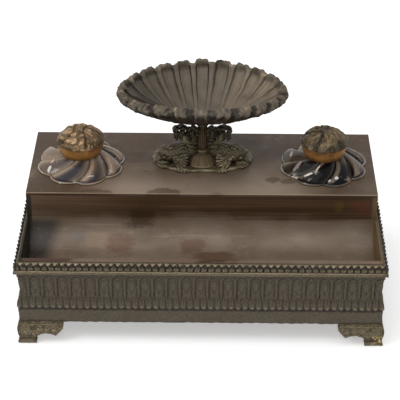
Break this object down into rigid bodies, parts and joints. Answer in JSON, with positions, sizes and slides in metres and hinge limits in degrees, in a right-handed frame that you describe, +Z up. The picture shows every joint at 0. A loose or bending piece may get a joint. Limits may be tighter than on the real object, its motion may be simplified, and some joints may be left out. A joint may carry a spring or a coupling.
{
  "type": "desk inkstand",
  "caption": "Bronze desk inkstand with a pen tray, a raised deck, two lift-out glass inkwells with hinged lids and an oval shell dish on a column.",
  "frame": {"origin": "on the ground under the middle of the casing", "axes": "+X to the right along the casing, +Y to the back, +Z up"},
  "size_m": [0.335, 0.1991, 0.195],
  "materials": {
    "patinated_bronze": "dark brown patina, satin",
    "relief_bronze": "cast relief, dark patina with worn edges",
    "gilt_bronze": "worn gilding, satin",
    "clear_glass": "moulded, clear, ink-stained",
    "brass_hardware": "plain, dulled"
  },
  "bodies": {
    "stand": {"wall_front": "relief_bronze", "wall_back": "relief_bronze", "wall_left": "relief_bronze", "wall_right": "relief_bronze", "rim_front": "relief_bronze", "rim_back": "relief_bronze", "rim_left": "relief_bronze", "rim_right": "relief_bronze", "foot_front_left": "relief_bronze", "foot_front_right": "relief_bronze", "foot_back_left": "relief_bronze", "foot_back_right": "relief_bronze", "block_front_left": "brass_hardware", "block_front_right": "brass_hardware", "block_back_left": "brass_hardware", "block_back_right": "brass_hardware", "foot_screws": "brass_hardware", "pen_tray": "patinated_bronze", "tray_end_left": "patinated_bronze", "tray_end_right": "patinated_bronze", "deck_plate": "patinated_bronze", "deck_side_left": "patinated_bronze", "deck_side_right": "patinated_bronze", "deck_back": "patinated_bronze", "dish_base": "relief_bronze", "bell_foot": "relief_bronze", "column": "relief_bronze", "leaf_cup": "relief_bronze", "dish": "patinated_bronze", "dolphin_left": "relief_bronze", "dolphin_right": "relief_bronze", "tie_rod": "brass_hardware", "tie_washer": "brass_hardware", "tie_nut": "brass_hardware"},
    "well_left": {"glass_left": "clear_glass", "collar_left": "gilt_bronze", "hinge_pin_left": "brass_hardware"},
    "well_right": {"glass_right": "clear_glass", "collar_right": "gilt_bronze", "hinge_pin_right": "brass_hardware"},
    "lid_left": {"lid_left": "gilt_bronze"},
    "lid_right": {"lid_right": "gilt_bronze"}
  },
  "joints": [
    {"name": "well_left_lift", "type": "slide", "parent": "stand", "child": "well_left", "axis": [0, 0, 1], "range_m": [0, 0.042]},
    {"name": "lid_left_hinge", "type": "hinge", "parent": "well_left", "child": "lid_left", "pos_m": [-0.115, 0.05965, 0.13975], "axis": [-1, 0, 0], "range_deg": [0, 105]},
    {"name": "well_right_lift", "type": "slide", "parent": "stand", "child": "well_right", "axis": [0, 0, 1], "range_m": [0, 0.042]},
    {"name": "lid_right_hinge", "type": "hinge", "parent": "well_right", "child": "lid_right", "pos_m": [0.115, 0.05965, 0.13975], "axis": [-1, 0, 0], "range_deg": [0, 105]}
  ]
}
